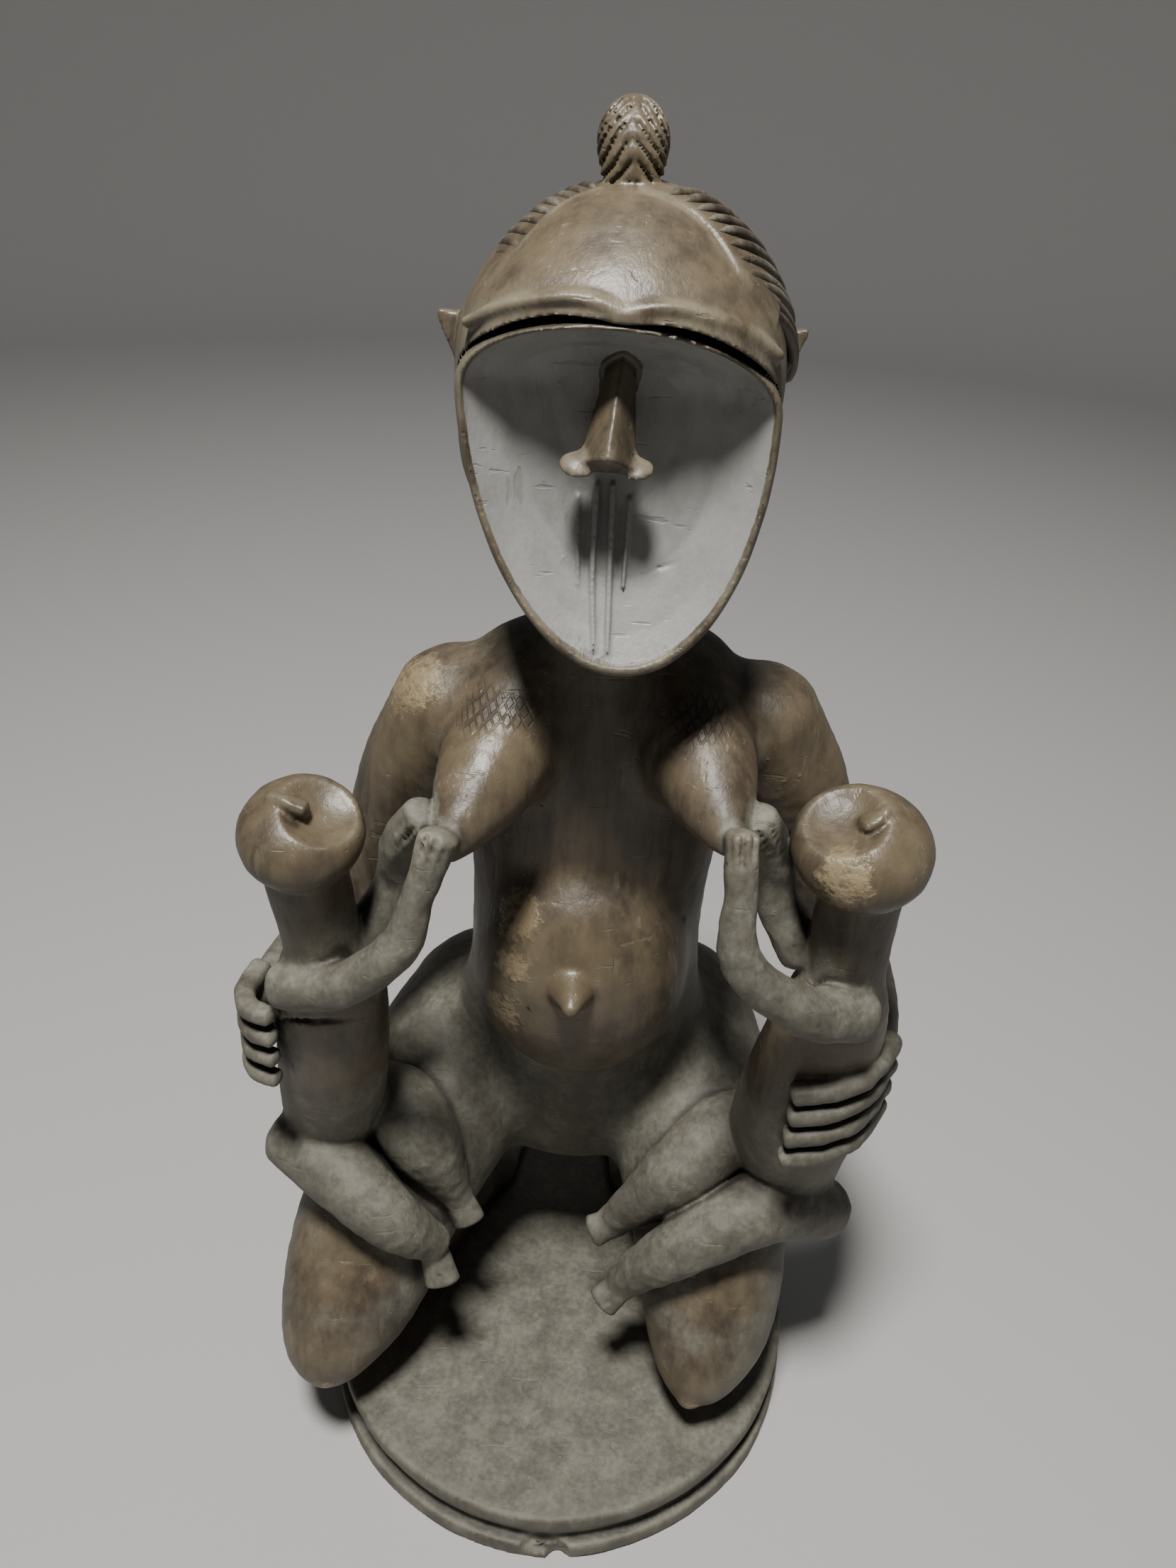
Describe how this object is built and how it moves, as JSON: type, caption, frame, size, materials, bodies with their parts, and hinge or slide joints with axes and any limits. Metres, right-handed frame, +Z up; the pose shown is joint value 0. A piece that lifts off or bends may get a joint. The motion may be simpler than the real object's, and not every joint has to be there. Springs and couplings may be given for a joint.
{
  "type": "maternity figure",
  "caption": "Carved dark wood figure of a kneeling mother with a dished pale face and a crested head, nursing a child at each breast, on a round base of the same block.",
  "frame": {"origin": "middle of the round base's underside", "axes": "+Z up through the figure, -Y the way the face looks, +X to a viewer's right hand"},
  "size_m": [0.287, 0.2451, 0.5992],
  "materials": {
    "wood": "dark polished wood with a dusty grey patina, worn brown on the raised parts, and a pale kaolin rubbed into the dished face"
  },
  "bodies": {
    "root": {"maternity_figure": "wood"}
  },
  "joints": []
}
